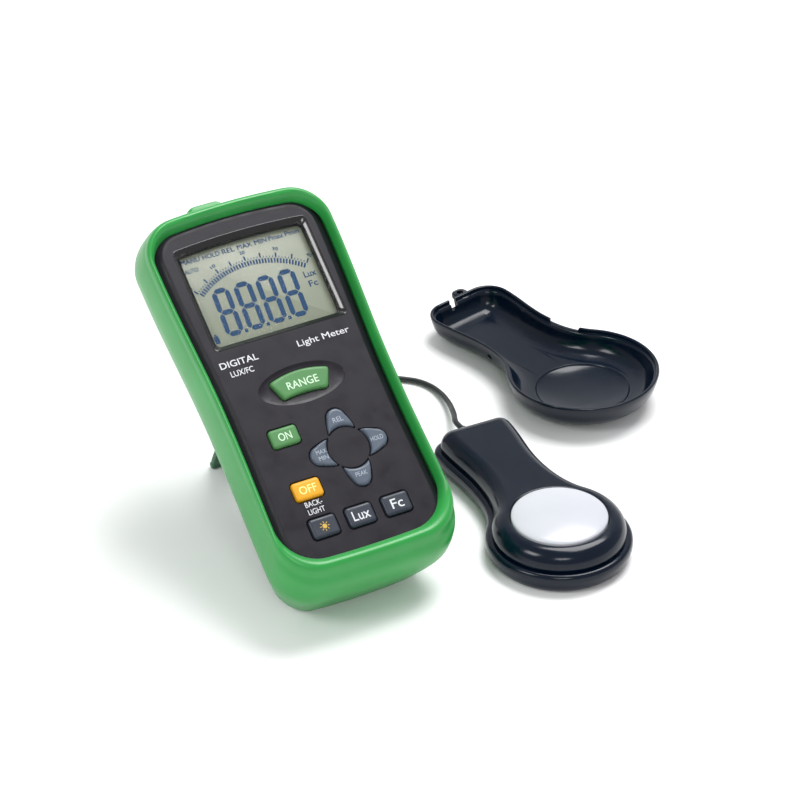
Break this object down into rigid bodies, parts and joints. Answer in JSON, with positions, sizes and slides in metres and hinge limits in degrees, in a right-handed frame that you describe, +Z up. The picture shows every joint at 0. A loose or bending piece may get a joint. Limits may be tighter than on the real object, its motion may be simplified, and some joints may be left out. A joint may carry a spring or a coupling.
{
  "type": "handheld light meter",
  "caption": "Handheld digital light meter in a rubber holster on a tilt stand, with a corded sensor head and its open sensor cover beside it.",
  "frame": {"origin": "bottom centre of the box round everything but the free cord, on the surface that it all stands on", "axes": "+X to the meter's right, +Y away from the user, towards the way the meter leans, +Z up"},
  "size_m": [0.2306, 0.2122, 0.1292],
  "materials": {
    "holster_rubber": "satin moulded rubber",
    "case_plastic": "fine moulded texture",
    "window_clear": "polished",
    "lcd": "satin",
    "light_guide": "satin",
    "mat_rubber": "matte",
    "board": "solder mask",
    "black_plastic": "matte",
    "battery_skin": "satin",
    "steel": "plated",
    "brass": "machined",
    "green_key": "satin",
    "yellow_key": "satin",
    "grey_key": "satin",
    "dark_key": "satin",
    "cord": "satin",
    "sensor_plastic": "satin gloss",
    "diffuser": "opal",
    "filter": "polished"
  },
  "bodies": {
    "meter": {"holster": "holster_rubber", "rear_case": "case_plastic", "front_case": "case_plastic", "lcd_lens": "window_clear", "lcd_glass": "lcd", "lcd_frame": "case_plastic", "backlight_panel": "light_guide", "lcd_connector": "mat_rubber", "keypad_mat": "mat_rubber", "main_board": "board", "processor_chip": "black_plastic", "amplifier_chip": "black_plastic", "battery": "battery_skin", "battery_clip": "black_plastic", "case_screw_1": "steel", "case_screw_2": "steel", "case_screw_3": "steel", "case_screw_4": "steel", "tripod_insert": "brass", "stand_hinge_pin": "steel", "sensor_socket": "black_plastic", "sensor_plug": "black_plastic", "plug_strain_relief": "cord", "cord_drop": "cord", "cord_coil": "cord", "cord_tie": "black_plastic", "cord_lead": "cord"},
    "stand": {"tilt_stand": "holster_rubber"},
    "door": {"battery_door": "case_plastic", "battery_door_screw": "steel"},
    "sensor": {"sensor_upper_shell": "sensor_plastic", "sensor_lower_shell": "sensor_plastic", "diffuser_dome": "diffuser", "colour_filter": "filter", "photodiode": "steel", "sensor_board": "board", "sensor_strain_relief": "cord", "sensor_screw_1": "steel", "sensor_screw_2": "steel", "sensor_screw_3": "steel"},
    "cover": {"sensor_cover": "sensor_plastic"},
    "range_button": {"range_key": "green_key"},
    "on_button": {"on_key": "green_key"},
    "off_button": {"off_key": "yellow_key"},
    "rel_button": {"rel_key": "grey_key"},
    "hold_button": {"hold_key": "grey_key"},
    "max_min_button": {"max_min_key": "grey_key"},
    "peak_button": {"peak_key": "grey_key"},
    "backlight_button": {"backlight_key": "dark_key"},
    "lux_button": {"lux_key": "dark_key"},
    "fc_button": {"fc_key": "dark_key"}
  },
  "joints": [
    {"name": "stand_fold", "type": "hinge", "parent": "meter", "child": "stand", "pos_m": [-0.07309, 0.01846, 0.06058], "axis": [1, 0, 0], "range_deg": [-80, 0]},
    {"name": "battery_door_slide", "type": "slide", "parent": "meter", "child": "door", "axis": [0, 0.5878, -0.809], "range_m": [0, 0.03]},
    {"name": "sensor_lift", "type": "slide", "parent": "meter", "child": "sensor", "axis": [0, 0, 1], "range_m": [0, 0.05], "deforming": ["cord_lead"]},
    {"name": "cover_lift", "type": "slide", "parent": "meter", "child": "cover", "axis": [0, 0, 1], "range_m": [0, 0.05]},
    {"name": "range_press", "type": "slide", "parent": "meter", "child": "range_button", "axis": [0, 0.5878, -0.809], "range_m": [0, 0.0008], "stiffness_N_per_m": 1500},
    {"name": "on_press", "type": "slide", "parent": "meter", "child": "on_button", "axis": [0, 0.5878, -0.809], "range_m": [0, 0.0008], "stiffness_N_per_m": 1500},
    {"name": "off_press", "type": "slide", "parent": "meter", "child": "off_button", "axis": [0, 0.5878, -0.809], "range_m": [0, 0.0008], "stiffness_N_per_m": 1500},
    {"name": "rel_press", "type": "slide", "parent": "meter", "child": "rel_button", "axis": [0, 0.5878, -0.809], "range_m": [0, 0.0008], "stiffness_N_per_m": 1500},
    {"name": "hold_press", "type": "slide", "parent": "meter", "child": "hold_button", "axis": [0, 0.5878, -0.809], "range_m": [0, 0.0008], "stiffness_N_per_m": 1500},
    {"name": "max_min_press", "type": "slide", "parent": "meter", "child": "max_min_button", "axis": [0, 0.5878, -0.809], "range_m": [0, 0.0008], "stiffness_N_per_m": 1500},
    {"name": "peak_press", "type": "slide", "parent": "meter", "child": "peak_button", "axis": [0, 0.5878, -0.809], "range_m": [0, 0.0008], "stiffness_N_per_m": 1500},
    {"name": "backlight_press", "type": "slide", "parent": "meter", "child": "backlight_button", "axis": [0, 0.5878, -0.809], "range_m": [0, 0.0008], "stiffness_N_per_m": 1500},
    {"name": "lux_press", "type": "slide", "parent": "meter", "child": "lux_button", "axis": [0, 0.5878, -0.809], "range_m": [0, 0.0008], "stiffness_N_per_m": 1500},
    {"name": "fc_press", "type": "slide", "parent": "meter", "child": "fc_button", "axis": [0, 0.5878, -0.809], "range_m": [0, 0.0008], "stiffness_N_per_m": 1500}
  ]
}
